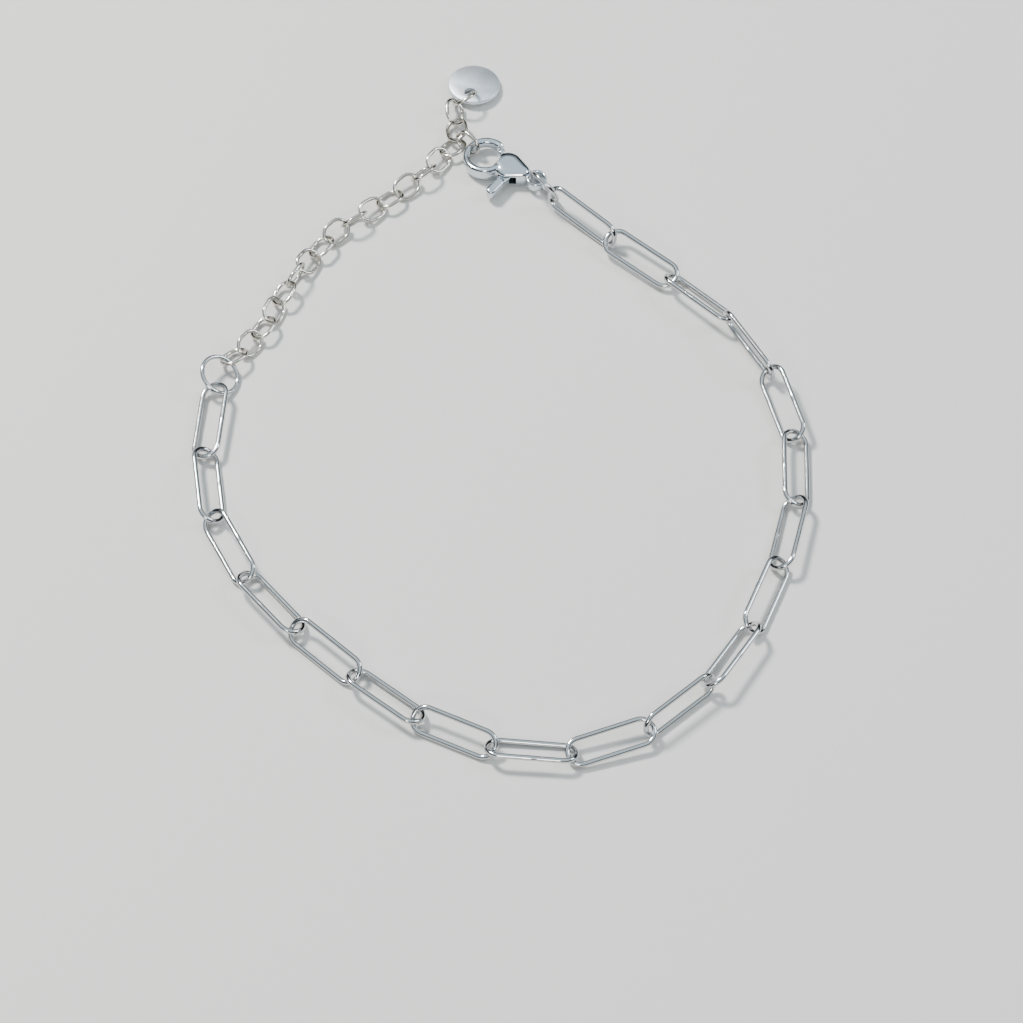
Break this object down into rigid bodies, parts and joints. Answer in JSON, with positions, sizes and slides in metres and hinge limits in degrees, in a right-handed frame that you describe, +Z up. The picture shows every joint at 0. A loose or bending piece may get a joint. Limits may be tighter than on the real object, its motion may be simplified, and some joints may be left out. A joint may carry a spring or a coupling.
{
  "type": "chain bracelet",
  "caption": "Paperclip chain bracelet with a lobster clasp hooked into its small-link extender and a plain round end tag, lying in a loop.",
  "frame": {"origin": "on the surface that the bracelet lies on, under the middle of its whole bounding box", "axes": "+Z up off the surface, +Y from the bottom of the lying loop to the clasp and the tag, +X to the right of the loop seen from above"},
  "size_m": [0.0666, 0.0928, 0.0044],
  "materials": {
    "link_steel": "polished stainless steel",
    "extender_steel": "polished stainless steel",
    "clasp_steel": "polished cast stainless steel",
    "tag_steel": "satin stainless steel, bare"
  },
  "bodies": {
    "bracelet": {"link_01": "link_steel", "link_02": "link_steel", "link_03": "link_steel", "link_04": "link_steel", "link_05": "link_steel", "link_06": "link_steel", "link_07": "link_steel", "link_08": "link_steel", "link_09": "link_steel", "link_10": "link_steel", "link_11": "link_steel", "link_12": "link_steel", "link_13": "link_steel", "link_14": "link_steel", "link_15": "link_steel", "link_16": "link_steel", "link_17": "link_steel", "link_18": "link_steel", "link_19": "link_steel", "big_ring": "link_steel", "ext_01": "extender_steel", "ext_02": "extender_steel", "ext_03": "extender_steel", "ext_04": "extender_steel", "ext_05": "extender_steel", "ext_06": "extender_steel", "ext_07": "extender_steel", "ext_08": "extender_steel", "ext_09": "extender_steel", "ext_10": "extender_steel", "ext_11": "extender_steel", "ext_12": "extender_steel", "ext_13": "extender_steel", "ext_14": "extender_steel", "ext_15": "extender_steel", "ext_16": "extender_steel", "ext_17": "extender_steel", "ext_18": "extender_steel", "ext_19": "extender_steel", "tag_ring": "extender_steel", "tag": "tag_steel", "clasp_ring": "link_steel", "clasp_body": "clasp_steel", "clasp_pin": "clasp_steel"},
    "clasp_lever": {"clasp_lever": "clasp_steel"}
  },
  "joints": [
    {"name": "clasp_lever_pivot", "type": "hinge", "parent": "bracelet", "child": "clasp_lever", "pos_m": [0.0012, 0.03054, 0.0011], "axis": [0, 0, 1], "range_deg": [0, 28], "stiffness_Nm_per_rad": 0.001, "springref_deg": -20.05}
  ]
}
